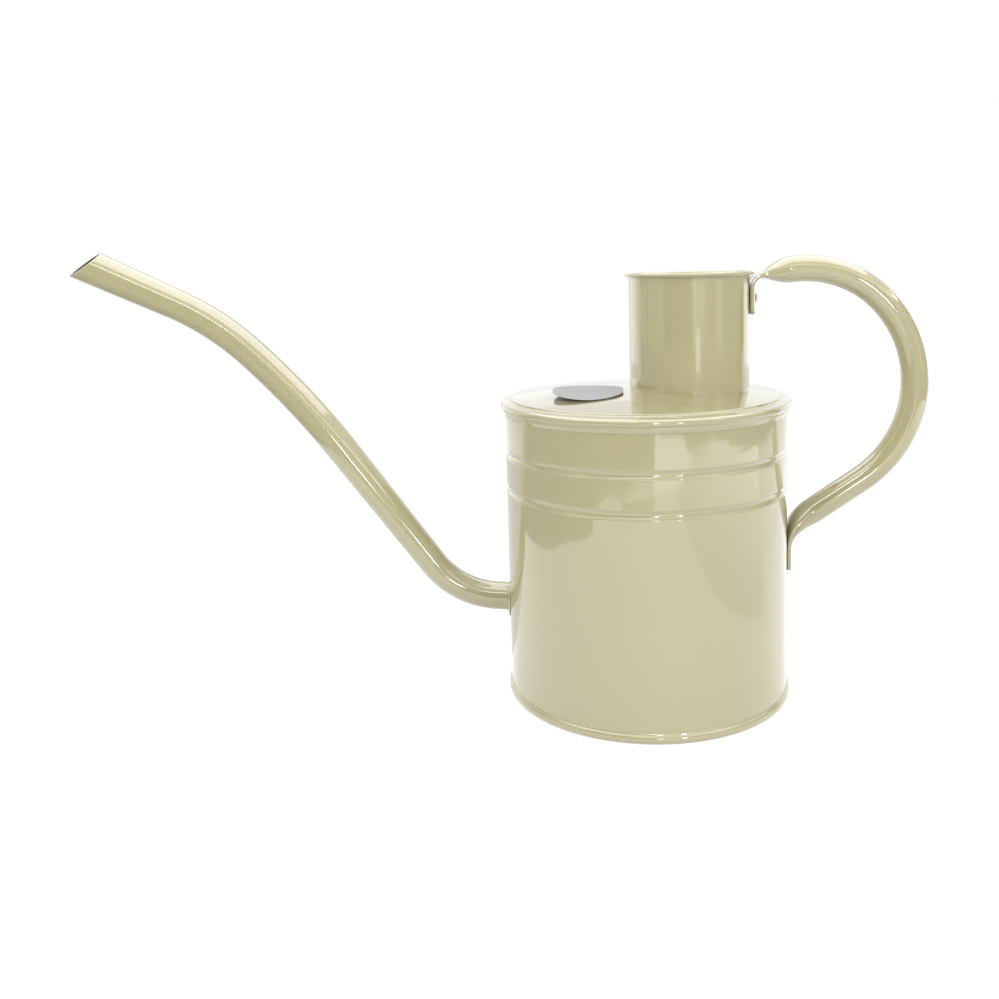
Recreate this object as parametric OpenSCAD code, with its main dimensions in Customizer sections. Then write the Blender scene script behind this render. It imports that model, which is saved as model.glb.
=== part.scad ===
// Long-spouted indoor watering can in painted sheet steel.
// Origin: centre of the ring it stands on.  +Z up, spout towards -X, handle towards +X.
// Millimetres.  Every sheet part keeps a small soldering gap to its neighbours.

/* [Body] */
// outside diameter of the plain body wall
body_d = 110; // [92:0.5:132]
// height of the seam roll's centre above the ground
body_h = 115.1; // [96:0.1:140]
// thickness of the sheet steel
sheet = 0.6; // [0.5:0.05:0.8]
// distance of the upper rolled groove's middle below the seam roll's centre
groove_drop = 18.1; // [12:0.1:30]
// distance between the two grooves
groove_pitch = 14.2; // [8:0.1:20]
// height of one groove
groove_w = 3.3; // [2:0.1:5]
// how far a groove is rolled into the wall
groove_depth = 0.7; // [0.3:0.05:1]

/* [Lid] */
// height of the lid's middle above the seam roll's centre
dome_rise = 6.2; // [4:0.1:10]
// radius the lid is domed to
dome_r = 400; // [300:5:600]

/* [Filler neck] */
// outside diameter of the filler neck
neck_d = 46.6; // [38:0.2:56]
// distance between the neck's wall and the body's wall, on the handle's side
neck_inset = 13.9; // [10:0.1:18]
// height of the neck above the lid's middle, to the top of its rolled rim
neck_h = 43.9; // [35:0.1:55]
// half the thickness of the neck's rolled rim
neck_rim_r = 0.7; // [0.6:0.05:1]
// how far the rolled rim stands out from the neck's wall
neck_lip = 1.7; // [1.3:0.05:2]

/* [Spout] */
// radius of the spout tube at the body
spout_r0 = 5.6; // [5:0.1:7]
// radius of the spout tube in its upper bend
spout_r1 = 6.2; // [5.4:0.1:7.6]
// radius of the spout tube at the mouth
spout_r2 = 7.2; // [6:0.1:8.4]
// height of the spout's axis at the body wall
spout_z = 35.5; // [28:0.5:45]
// rise of the spout's first straight above the horizontal, degrees
spout_rise = 4.1; // [0:0.1:8]
// radius of the lower bend's axis
spout_bend_r = 34.4; // [30:0.2:50]
// turn of the lower bend, degrees
spout_bend_a = 49.3; // [35:0.1:55]
// length of the long straight between the bends
spout_run = 58.2; // [45:0.2:75]
// slant of the mouth's cut above the horizontal, degrees
mouth_slant = 32; // [25:0.1:60]
// how far the mouth's cut leans towards -Y, degrees
mouth_lean = 19; // [0:1:25]

/* [Handle] */
// outside radius of the handle tube
handle_r = 5.1; // [4.2:0.1:6.2]
// wall of the handle tube, and half the thickness of its pressed ends
handle_wall = 1; // [0.8:0.05:1.2]
// width of the pressed ends
tab_w = 14; // [12:0.5:16]
// radius of the handle's upper bend
handle_bend_1 = 40.9; // [38:0.1:44]
// radius of the handle's back bend
handle_bend_2 = 46.4; // [44:0.1:49]
// radius of the rivet's shank
rivet_r = 1.2; // [1:0.05:1.6]

/* [Sticker] */
// width of the sticker across the lid
sticker_w = 26.8; // [20:0.2:29]
// length of the sticker from front to back
sticker_l = 31; // [30:0.5:44]

/* [Hidden] */

paint = [0.80, 0.77, 0.66];
grey = [0.66, 0.66, 0.67];
$fn = 96;
eps = 0.01;
lap = 0.001;                    // hairline between the lengths of a bent tube
weld_l = 1;                     // length of a weld ring inside a tube's wall
gap = 0.05;                     // soldering gap between neighbouring pieces
big = 400;                      // larger than the can, for trimming

body_r = body_d / 2;
body_in = body_r - sheet;
shell_z0 = 1.9;                 // lower edge of the wall, inside the base seam
shell_z1 = body_h - 1.7;        // upper edge of the wall, inside the lid seam

// base seam and recessed floor
base_seam_r = body_r + 1.1;
base_seam_h = 3.7;
foot_r = 0.9;
foot_out = base_seam_r - foot_r;
foot_in = body_in - 0.3;
floor_z = 2.6;

// lid seam
seam_r = 1.5;                   // roll on top of the seam
seam_x = body_r + 0.2;
seam_band = 0.85;
seam_z0 = body_h - 3.7;
lid_edge = body_r - 2.5;        // where the dome steps down to the roll
lid_step = 0.45;
dome_z = body_h + dome_rise;
dome_c = dome_z - dome_r;
dome_edge_z = dome_c + sqrt(dome_r * dome_r - lid_edge * lid_edge);

// filler neck
neck_r = neck_d / 2;
neck_x = body_r - neck_inset - neck_r;
neck_in = neck_r - sheet;
neck_top = dome_z + neck_h;
neck_z0 = dome_c + sqrt(pow(dome_r, 2) - pow(neck_x + neck_r, 2)) - 2;
neck_rim_x = neck_r + neck_lip - neck_rim_r;

// spout: start inside the wall, then bends and straights in the XZ plane
spout_x0 = -(body_r - 2);
spout_p0 = [spout_x0, spout_z - tan(spout_rise)];
spout_h0 = 180 - spout_rise;
spout_lead = 8;
upper_bend_r = 314;
upper_bend_a = 10;
tip_bend_r = 110.6;
tip_bend_a = 18.6;
tip_run = 50;
mouth_at = 39.8;                // along the last straight, to the mouth's middle

// one step of a path [x, z, heading]: a straight, or a bend (left turn positive)
function fwd(p, l) = [p[0] + l * cos(p[2]), p[1] + l * sin(p[2]), p[2]];
function centre(p, r, a) = [p[0] - sign(a) * r * sin(p[2]), p[1] + sign(a) * r * cos(p[2])];
function turn(p, r, a) =
    [centre(p, r, a)[0] + sign(a) * r * sin(p[2] + a),
     centre(p, r, a)[1] - sign(a) * r * cos(p[2] + a), p[2] + a];

s0 = [spout_p0[0], spout_p0[1], spout_h0];
s1 = fwd(s0, spout_lead);
s2 = turn(s1, spout_bend_r, -spout_bend_a);
s3 = fwd(s2, spout_run);
s4 = turn(s3, upper_bend_r, upper_bend_a);
s5 = turn(s4, tip_bend_r, tip_bend_a);
s_mouth = fwd(s5, mouth_at);

// collar round the foot of the spout
collar_r = spout_r0 + 1.6;
collar_t = 0.9;
collar_drop = 1;

// handle, from the neck over the top and down to the body
bend_1_a = -52.3;
bend_2_a = -101.1;
weld_in = 0.25;
tube_from = 15.6;               // from the neck's wall to the start of the round tube
tube_rise = 7.4;                // heading of the tube there, degrees
h0 = [neck_x + neck_r + tube_from, neck_top, tube_rise];
h1 = turn(h0, handle_bend_1, bend_1_a);
h2 = turn(h1, handle_bend_2, bend_2_a);
tab_t = 2 * handle_wall;
tab_x1 = neck_x + neck_r + gap + tab_t / 2;
tab_x2 = body_r + gap + tab_t / 2;
lower_reach = 9.83;             // from the end of the tube to the lower tab's middle, along X
lower_drop = 23.13;             // from the end of the tube down to the lower tab's end
handle_run = (h2[0] - tab_x2 - lower_reach) / -cos(h2[2]);
h3 = fwd(h2, handle_run);
upper_drop = 16.8;              // from the neck's top down to the upper tab's end
upper_tab_end = neck_top - upper_drop;
lower_tab_end = h3[1] - lower_drop;
rivet_drop = 10.6;              // from the neck's top down to the rivet
rivet_z = neck_top - rivet_drop;
rivet_head_r = 1.8;
rivet_head_t = 1.1;
rivet_tail_t = 0.8;
rivet_ball_r = 2;
rivet_x = tab_x1 + tab_t / 2 + gap;
rivet_in = neck_x + sqrt(neck_in * neck_in - rivet_head_r * rivet_head_r) - gap;

module along(p) translate([p[0], 0, p[1]]) rotate([0, 90 - p[2], 0]) children();

// straight piece of round bar, radius ra to rb
module bar(p, l, ra, rb) along(p) cylinder(h = l, r1 = ra, r2 = rb);

// bent piece of round bar
module bend(p, r, a, ro) {
    c = centre(p, r, a);
    start = a > 0 ? p[2] - 90 : p[2] + 90 + a;
    translate([c[0], 0, c[1]]) rotate([90, 0, 0]) rotate([0, 0, start])
        rotate_extrude(angle = abs(a)) translate([r, 0]) circle(ro);
}

module tube_ring(ro, ri, z0, z1) translate([0, 0, z0]) difference() {
    cylinder(h = z1 - z0, r = ro);
    translate([0, 0, -eps]) cylinder(h = z1 - z0 + 2 * eps, r = ri);
}

module ring_bar(x, z, r) translate([0, 0, z]) rotate_extrude() translate([x, 0]) circle(r);

// body wall: rolled sheet with two grooves and the spout's hole
groove_r = (pow(groove_w / 2, 2) + pow(groove_depth, 2)) / (2 * groove_depth);
groove_x = body_r - groove_depth + groove_r;
groove_zs = [body_h - groove_drop, body_h - groove_drop - groove_pitch];

module body_shell() color(paint) difference() {
    union() {
        tube_ring(body_r, body_in, shell_z0, shell_z1);
        for (z = groove_zs) intersection() {
            ring_bar(groove_x, z, groove_r + sheet);
            tube_ring(body_r, body_in - 2, z - groove_w, z + groove_w);
        }
    }
    for (z = groove_zs) ring_bar(groove_x, z, groove_r);
    bar(fwd(s0, -3), 6, spout_r0 + gap, spout_r0 + gap);
}

// floor: recessed disc, folded round the wall's lower edge into a foot ring
module base_plate() color(paint) rotate_extrude() union() {
    translate([0, floor_z]) square([body_in - gap, sheet]);
    translate([foot_in - foot_r, foot_r])
        square([body_in - gap - foot_in + foot_r, floor_z - foot_r + sheet]);
    translate([foot_in, 0]) square([foot_out - foot_in, 2 * foot_r]);
    translate([foot_in, foot_r]) circle(foot_r);
    translate([foot_out, foot_r]) circle(foot_r);
    translate([body_r + gap, foot_r]) square([base_seam_r - body_r - gap, base_seam_h - foot_r - 0.5]);
    translate([body_r + gap, base_seam_h - 1]) square([base_seam_r - body_r - gap - 0.5, 1]);
    translate([base_seam_r - 0.5, base_seam_h - 0.5]) circle(0.5);
}

// lid: shallow dome, step, rolled seam closed over the wall's upper edge
module top_plate() color(paint) difference() {
    union() {
        intersection() {
            difference() {
                translate([0, 0, dome_c]) sphere(dome_r);
                translate([0, 0, dome_c]) sphere(dome_r - sheet);
            }
            translate([0, 0, seam_z0]) cylinder(h = big, r = lid_edge);
        }
        rotate_extrude() union() {
            polygon([[lid_edge - sheet, dome_edge_z], [lid_edge - sheet, body_h + 0.6],
                     [seam_x, body_h + 0.6], [seam_x, body_h + seam_r],
                     [lid_edge + 0.4, dome_edge_z - lid_step - sheet / 2],
                     [lid_edge, dome_edge_z - lid_step], [lid_edge, dome_edge_z]]);
            translate([seam_x, body_h]) circle(seam_r);
            translate([body_r + gap, seam_z0]) square([seam_band, body_h - seam_z0]);
        }
    }
    translate([neck_x, 0, seam_z0]) cylinder(h = big, r = neck_r + gap);
}

// filler neck: upright tube, rim rolled outwards
module filler_neck() color(paint) difference() {
    translate([neck_x, 0, 0]) union() {
        tube_ring(neck_r, neck_in, neck_z0, neck_top);
        tube_ring(neck_rim_x, neck_in, neck_top - 2 * neck_rim_r, neck_top);
        ring_bar(neck_rim_x, neck_top - neck_rim_r, neck_rim_r);
    }
    rivet_hole();
}

// one straight length of the spout's tube
module hollow_bar(p, l, ra, rb) difference() {
    bar(p, l, ra, rb);
    bar(p, l, ra - sheet, rb - sheet);
}

// one bent length of the spout's tube
module hollow_elbow(p, r, a, ro) difference() {
    bend(p, r, a, ro);
    bend(p, r, a, ro - sheet);
}

// ring inside the sheet's thickness that carries one length into the next
module sheet_weld(p, ro) difference() {
    bar(fwd(p, -weld_l / 2), weld_l, ro - sheet / 4, ro - sheet / 4);
    bar(fwd(p, -weld_l), 2 * weld_l, ro - sheet * 3 / 4, ro - sheet * 3 / 4);
}

// spout: tube bent twice, mouth cut on the slant
module spout_tube() color(paint) difference() {
    union() {
        hollow_bar(s0, spout_lead, spout_r0, spout_r0);
        hollow_elbow(fwd(s1, lap), spout_bend_r, -spout_bend_a, spout_r0);
        hollow_bar(fwd(s2, 2 * lap), spout_run, spout_r0, spout_r1);
        hollow_elbow(fwd(s3, 3 * lap), upper_bend_r, upper_bend_a, spout_r1);
        hollow_elbow(fwd(s4, 4 * lap), tip_bend_r, tip_bend_a, spout_r1);
        hollow_bar(fwd(s5, 5 * lap), tip_run, spout_r1, spout_r2);
        for (j = [[s1, spout_r0], [s2, spout_r0], [s3, spout_r1], [s4, spout_r1], [s5, spout_r1]])
            sheet_weld(j[0], j[1]);
    }
    translate([s_mouth[0], 0, s_mouth[1]]) rotate([0, -mouth_slant, 0]) rotate([mouth_lean, 0, 0])
        translate([-big / 2, -big / 2, 0]) cube(big);
}

// soldered collar where the spout meets the wall
module spout_collar() color(paint) difference() {
    intersection() {
        tube_ring(body_r + gap + collar_t, body_r + gap, 0, body_h);
        translate([-body_r, 0, spout_z - collar_drop]) rotate([0, -90, 0])
            translate([0, 0, -5]) cylinder(h = 15, r = collar_r);
    }
    bar(fwd(s0, -3), 9, spout_r0 + gap, spout_r0 + gap);
}

// lofted ends of the handle: rows of [x, z, heading, thickness, width, bow]
ring_n = 40;
// point of a pressed ring: round where t equals w, and flatter the more they differ
function ring_pt(i, t, w) =
    let (a = 360 * (i + 0.5) / ring_n, q = pow(t / w, 0.7))
    [t / 2 * sign(sin(a)) * pow(abs(sin(a)), q), w / 2 * cos(a)];
function bow(y, rc) = rc - sqrt(rc * rc - y * y);
function row_pt(r, i, rc) =
    let (q = ring_pt(i, r[3], r[4]), n = q[0] - r[5] * bow(q[1], rc))
    [r[0] - n * sin(r[2]), q[1], r[1] + n * cos(r[2])];

module loft(rows, rc) {
    m = len(rows);
    pts = [for (r = rows) for (i = [0 : ring_n - 1]) row_pt(r, i, rc)];
    sides = [for (k = [0 : m - 2]) for (i = [0 : ring_n - 1]) for (h = [0, 1])
        let (j = (i + 1) % ring_n, a = k * ring_n, b = a + ring_n)
        h == 0 ? [a + i, b + j, a + j] : [a + i, b + i, b + j]];
    polyhedron(points = pts,
        faces = concat([[for (i = [0 : ring_n - 1]) i]], sides,
                       [[for (i = [ring_n - 1 : -1 : 0]) (m - 1) * ring_n + i]]));
}

hr2 = 2 * handle_r;
plug = hr2 - handle_wall;       // round plug of the loft, inside the tube's wall
back = h0[2] + 180;
upper_rows = [
    [fwd(h0, 1)[0], fwd(h0, 1)[1], back, plug, plug, 0],
    [fwd(h0, -lap)[0], fwd(h0, -lap)[1], back, plug, plug, 0],
    [fwd(h0, -lap)[0], fwd(h0, -lap)[1], back, hr2, hr2, 0],
    [tab_x1 + 11.9, neck_top - 0.3, 187.4, 9.4, 11, 0],
    [tab_x1 + 9.4, neck_top - 0.7, 188, 8, 12, 0],
    [tab_x1 + 6.9, neck_top - 1.15, 190, 6, 13, 0.1],
    [tab_x1 + 4.9, neck_top - 1.6, 193, 4, 13.7, 0.2],
    [tab_x1 + 3.3, neck_top - 2.1, 198, 2.6, tab_w, 0.35],
    [tab_x1 + 2.2, neck_top - 2.6, 207, tab_t, tab_w, 0.5],
    [tab_x1 + 1.25, neck_top - 3.4, 225, tab_t, tab_w, 0.7],
    [tab_x1 + 0.5, neck_top - 4.4, 243, tab_t, tab_w, 0.85],
    [tab_x1 + 0.08, neck_top - 5.6, 260, tab_t, tab_w, 1],
    [tab_x1, neck_top - 6.8, 270, tab_t, tab_w, 1],
    [tab_x1, upper_tab_end + 3, 270, tab_t, tab_w, 1],
    [tab_x1, upper_tab_end + 1.2, 270, tab_t, tab_w - 1.6, 1],
    [tab_x1, upper_tab_end, 270, tab_t, tab_w - 5, 1]];
lower_rows = [
    [fwd(h3, -1)[0], fwd(h3, -1)[1], h3[2] + 360, plug, plug, 0],
    [fwd(h3, 3 * lap)[0], fwd(h3, 3 * lap)[1], h3[2] + 360, plug, plug, 0],
    [fwd(h3, 3 * lap)[0], fwd(h3, 3 * lap)[1], h3[2] + 360, hr2, hr2, 0],
    [tab_x2 + 6.8, lower_tab_end + 21.1, 216, 9.3, 11, 0],
    [tab_x2 + 4.5, lower_tab_end + 19.2, 221, 7.8, 12, 0.1],
    [tab_x2 + 2.85, lower_tab_end + 17.3, 230, 6, 13, 0.4],
    [tab_x2 + 1.55, lower_tab_end + 15.3, 243, 4.2, 13.7, 0.7],
    [tab_x2 + 0.58, lower_tab_end + 13.1, 258, 2.9, tab_w, 0.9],
    [tab_x2 + 0.1, lower_tab_end + 10.9, 268, 2.1, tab_w, 1],
    [tab_x2, lower_tab_end + 9, 270, tab_t, tab_w, 1],
    [tab_x2, lower_tab_end + 3, 270, tab_t, tab_w, 1],
    [tab_x2, lower_tab_end + 1.2, 270, tab_t, tab_w - 1.6, 1],
    [tab_x2, lower_tab_end, 270, tab_t, tab_w - 5, 1]];

// one length of the handle's tube
module hollow_bend(p, r, a) difference() {
    bend(p, r, a, handle_r);
    bend(p, r, a, handle_r - handle_wall);
}

// weld inside the tube's wall, joining two lengths end to end
module wall_weld(p) difference() {
    bar(fwd(p, -weld_l / 2), weld_l, handle_r - weld_in, handle_r - weld_in);
    bar(fwd(p, -weld_l), 2 * weld_l, handle_r - handle_wall + weld_in, handle_r - handle_wall + weld_in);
}

// handle: bent tube, both ends pressed flat and turned down as tabs
module handle() color(paint) difference() {
    union() {
        hollow_bend(h0, handle_bend_1, bend_1_a);
        hollow_bend(fwd(h1, lap), handle_bend_2, bend_2_a);
        difference() {
            bar(fwd(h2, 2 * lap), handle_run, handle_r, handle_r);
            bar(fwd(h2, -eps), handle_run + 1, handle_r - handle_wall, handle_r - handle_wall);
        }
        wall_weld(h1);
        wall_weld(h2);
        loft(upper_rows, neck_r + gap + tab_t / 2);
        loft(lower_rows, body_r + gap + tab_t / 2);
    }
    rivet_hole();
}

module rivet_hole() translate([neck_x + neck_in - 2, 0, rivet_z]) rotate([0, 90, 0])
    cylinder(h = 8, r = rivet_r + gap);

// rivet through the neck and the handle's upper tab, turned about its own axis
module handle_rivet() color(paint) translate([rivet_in - rivet_tail_t, 0, rivet_z]) rotate([0, 90, 0])
    rotate_extrude() union() {
        square([rivet_head_r, rivet_tail_t]);
        square([rivet_r, rivet_x - rivet_in + rivet_tail_t + rivet_head_t / 2]);
        translate([0, rivet_x - rivet_in + rivet_tail_t]) intersection() {
            translate([0, rivet_head_t - rivet_ball_r]) circle(rivet_ball_r);
            square([rivet_head_r, rivet_head_t]);
        }
    }

// plain sticker, its two ends curling up off the lid
sticker_gap = 3;                // from the neck's wall to the sticker's edge
sticker_front = -15.4;          // its middle lies this far towards the front
sticker_at = [neck_x - neck_r - sticker_gap - sticker_w / 2, sticker_front];
curl_r = 96;
sticker_lean = 3.44;            // the end away from the neck has let go most, degrees
sticker_lift = 0.2;             // the middle rests this far off the lid
sticker_t = 0.3;
sticker_z = dome_c + sqrt(pow(dome_r, 2) - pow(sticker_at[0], 2) - pow(sticker_at[1], 2));
module lid_sticker() color(grey)
    translate([sticker_at[0], sticker_at[1], sticker_z + sticker_lift])
        rotate([asin(-sticker_at[1] / dome_r), asin(sticker_at[0] / dome_r) + sticker_lean, 0])
        intersection() {
            translate([0, 0, curl_r]) rotate([90, 0, 0]) translate([0, 0, -sticker_l])
                difference() {
                    cylinder(h = 2 * sticker_l, r = curl_r);
                    translate([0, 0, -1]) cylinder(h = 2 * sticker_l + 2, r = curl_r - sticker_t);
                }
            union() {
                for (s = [-1, 1]) translate([0, s * (sticker_l - sticker_w) / 2, -1])
                    cylinder(h = 8, r = sticker_w / 2);
                translate([-sticker_w / 2, -(sticker_l - sticker_w) / 2, -1])
                    cube([sticker_w, sticker_l - sticker_w, 8]);
            }
        }

body_shell();
base_plate();
top_plate();
filler_neck();
spout_tube();
spout_collar();
handle();
handle_rivet();
lid_sticker();
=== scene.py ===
import math

import bpy
import numpy as np
from mathutils import Matrix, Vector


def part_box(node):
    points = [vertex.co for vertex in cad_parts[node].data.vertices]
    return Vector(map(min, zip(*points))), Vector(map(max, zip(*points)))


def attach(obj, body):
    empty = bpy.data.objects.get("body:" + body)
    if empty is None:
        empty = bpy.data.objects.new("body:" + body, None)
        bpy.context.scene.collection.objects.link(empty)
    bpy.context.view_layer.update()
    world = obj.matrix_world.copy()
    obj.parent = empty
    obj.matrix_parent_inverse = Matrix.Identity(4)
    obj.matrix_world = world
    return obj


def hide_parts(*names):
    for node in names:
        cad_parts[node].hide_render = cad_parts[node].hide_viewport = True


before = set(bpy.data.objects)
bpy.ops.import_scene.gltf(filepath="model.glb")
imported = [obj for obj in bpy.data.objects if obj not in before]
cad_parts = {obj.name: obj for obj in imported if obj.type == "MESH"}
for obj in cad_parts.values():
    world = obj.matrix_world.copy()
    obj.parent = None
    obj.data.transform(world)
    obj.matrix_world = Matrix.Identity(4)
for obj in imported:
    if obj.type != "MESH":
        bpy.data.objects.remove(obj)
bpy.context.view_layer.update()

# ---------------------------------------------------------------- body wall
# A strip of sheet steel rolled into a drum and lap seamed, 110 mm across. Two shallow grooves are
# rolled in near the top to stiffen it, and a round hole low on one side takes the spout.
MM = 0.001
BODY_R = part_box("body_shell")[1].x / MM
WALL_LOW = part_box("body_shell")[0].z / MM
WALL_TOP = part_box("body_shell")[1].z / MM
SHEET = 0.6
GROOVE_Z = (82.8, 97.0)
GROOVE_DEPTH = 0.7
GROOVE_HALF = 1.65          # half the height of a groove's opening
GROOVE_LIP = 0.28           # how far the paint rounds a groove's lips
CUT_EDGE = 0.15             # and how far it rounds the sheet's cut edges
AROUND = 384                # points round the body
SPOUT_Z = 35.5              # height of the spout's axis at the wall
SPOUT_RISE = 4.1            # its slope there, degrees
SPOUT_R0 = 5.6
HOLE_GAP = 0.05


def unrounded(points):
    """The points as rows of (x, y, trim) with no trim, for a stretch that is already round."""
    return np.c_[points, np.zeros(len(points))]


def rounded(rows, hold=0.12, steps=7):
    """Rows are (x, y, trim). Corner P becomes the curve P + a t (1-s)^2 + b t s^2, where a and b
    point along its two sides and t is its trim, with one more point hold past each end of the
    curve. A trim of 0 keeps the corner as one point."""
    rows = np.asarray(rows, float)
    corner = rows[:, :2]
    trim = rows[:, 2].copy()
    trim[[0, -1]] = 0
    a = np.roll(corner, 1, 0) - corner
    b = np.roll(corner, -1, 0) - corner
    a /= np.maximum(np.linalg.norm(a, axis=1, keepdims=True), 1e-9)
    b /= np.maximum(np.linalg.norm(b, axis=1, keepdims=True), 1e-9)
    s = np.linspace(0, 1, steps)[None, :, None]
    t = trim[:, None, None]
    curve = corner[:, None] + a[:, None] * t * (1 - s) ** 2 + b[:, None] * t * s ** 2
    out = (trim + hold * (trim > 0))[:, None]
    points = np.concatenate([(corner + a * out)[:, None], curve, (corner + b * out)[:, None]], 1)
    points = points.reshape(-1, 2)
    keep = np.r_[True, np.linalg.norm(np.diff(points, axis=0), axis=1) > 1e-6]
    return points[keep]


def refined(profile, step):
    """Points are added every step along the profile's length, and its own points stay."""
    along = np.r_[0, np.cumsum(np.linalg.norm(np.diff(profile, axis=0), axis=1))]
    every = np.unique(np.round(np.r_[along, np.arange(step, along[-1], step)], 4))
    every = every[np.r_[True, np.diff(every) > 0.02]]
    return np.stack([np.interp(every, along, profile[:, k]) for k in (0, 1)], 1)


def turned(profile, around=AROUND, shift=0.0):
    """A profile of (radius, height) turned about an upright axis at x = shift: the point at angle a
    is (shift + r cos a, r sin a, z)."""
    a = np.linspace(0, 2 * np.pi, around, endpoint=False)
    r, z = profile[:, :1], profile[:, 1:]
    return np.stack([shift + r * np.cos(a), r * np.sin(a), z + 0 * a], -1)


def skin(name, rings, poles=False):
    """rings[i, j] is point j of ring i, in mm. Each ring closes on itself. The last ring joins the
    first, or with poles each end ring is closed to its own middle. Faces are turned outwards."""
    m, n = rings.shape[:2]
    i, j = np.meshgrid(np.arange(m - 1 if poles else m), np.arange(n), indexing="ij")
    up, on = (i + 1) % m, (j + 1) % n
    quads = np.stack([i * n + j, i * n + on, up * n + on, up * n + j], -1).reshape(-1, 4)
    points = rings.reshape(-1, 3)
    faces = quads.tolist()
    triangles = np.concatenate([quads[:, [0, 1, 2]], quads[:, [0, 2, 3]]])
    if poles:
        k = np.arange(n)
        low = np.stack([np.full(n, m * n), (k + 1) % n, k], -1)
        high = np.stack([np.full(n, m * n + 1), (m - 1) * n + k, (m - 1) * n + (k + 1) % n], -1)
        points = np.concatenate([points, rings[[0, -1]].mean(1)])
        faces += low.tolist() + high.tolist()
        triangles = np.concatenate([triangles, low, high])
    a, b, c = (points[triangles[:, q]] for q in range(3))
    inside_out = (a * np.cross(b, c)).sum() < 0
    if inside_out:
        faces = [face[::-1] for face in faces]
    mesh = bpy.data.meshes.new(name)
    mesh.from_pydata((points * MM).tolist(), [], faces)
    mesh.polygons.foreach_set("use_smooth", np.ones(len(mesh.polygons), bool))
    mesh.update()
    piece = bpy.data.objects.new(name, mesh)
    bpy.context.scene.collection.objects.link(piece)
    return piece


def pierced(piece, start, end, radius):
    """A straight round hole is cut through the piece, from start to end, in mm. The drill's ring is
    radius (u cos a + v sin a), with u and v square to its axis. It is turned a little, so that none
    of its corners lies on a corner of the piece."""
    start, end = np.asarray(start, float), np.asarray(end, float)
    axis = (end - start) / np.linalg.norm(end - start)
    u = np.cross(axis, [0, 1, 0])
    u /= np.linalg.norm(u)
    v = np.cross(axis, u)
    sides, turn = 72, 0.03
    a = np.linspace(0, 2 * np.pi, sides, endpoint=False)[:, None] + turn
    ring = radius * (np.cos(a) * u + np.sin(a) * v)
    drill = skin("drill", np.stack([start + ring, end + ring]), poles=True)
    cut = piece.modifiers.new("hole", "BOOLEAN")
    cut.operation = "DIFFERENCE"
    cut.solver = "EXACT"
    cut.object = drill
    graph = bpy.context.evaluated_depsgraph_get()
    mesh = bpy.data.meshes.new_from_object(piece.evaluated_get(graph))
    piece.modifiers.clear()
    piece.data = mesh
    bpy.data.objects.remove(drill)


groove_r = (GROOVE_HALF ** 2 + GROOVE_DEPTH ** 2) / (2 * GROOVE_DEPTH)
groove_x = BODY_R - GROOVE_DEPTH + groove_r
inner = BODY_R - SHEET


def groove(z, sheet, face, lip):
    """The arc of a groove at height z, as rows of (x, z, trim): centre minus r cos a, height plus
    r sin a, from where it leaves the wall's face to where it meets it."""
    r = groove_r + sheet
    half = np.arccos((groove_x - face) / r)
    a = np.linspace(-half, half, 15)
    rows = unrounded(np.stack([groove_x - r * np.cos(a), z + r * np.sin(a)], 1))
    rows[[0, -1], 2] = lip
    return rows


wall = np.concatenate([[[BODY_R - SHEET / 2, WALL_LOW, 0], [BODY_R, WALL_LOW, CUT_EDGE]],
                       *[groove(z, 0, BODY_R, GROOVE_LIP) for z in GROOVE_Z],
                       [[BODY_R, WALL_TOP, CUT_EDGE], [inner, WALL_TOP, CUT_EDGE]],
                       *[groove(z, SHEET, inner, 0)[::-1] for z in GROOVE_Z[::-1]],
                       [[inner, WALL_LOW, CUT_EDGE], [BODY_R - SHEET / 2, WALL_LOW, 0]]])
body_wall = skin("body_wall", turned(refined(rounded(wall), 2.0)[:-1]))
spout_slope = math.tan(math.radians(SPOUT_RISE))
pierced(body_wall, [-BODY_R + 5, 0, SPOUT_Z - 4 * spout_slope],
        [-BODY_R - 5, 0, SPOUT_Z + 6 * spout_slope], SPOUT_R0 + HOLE_GAP)


def shader_node(tree, kind, **settings):
    """One shader node of the kind, with its sockets and settings given by name."""
    node = tree.nodes.new("ShaderNode" + kind)
    for key, item in settings.items():
        if key in node.inputs:
            node.inputs[key].default_value = item
        else:
            setattr(node, key, item)
    return node


def wire(tree, *pairs):
    """Each output goes to its input."""
    for start, end in pairs:
        tree.links.new(start, end)


def new_material(name):
    """A material with nodes: itself, its tree and its main shader."""
    material = bpy.data.materials.new(name)
    material.use_nodes = True
    return material, material.node_tree, material.node_tree.nodes["Principled BSDF"]


CREAM = (0.40, 0.366, 0.205, 1)
WAVE_HEIGHT = 0.00035       # of the sheet under the paint, in metres
PEEL_HEIGHT = 0.000016      # of the orange peel
PIP_HEIGHT = 0.00003        # of dust under the paint


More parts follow.
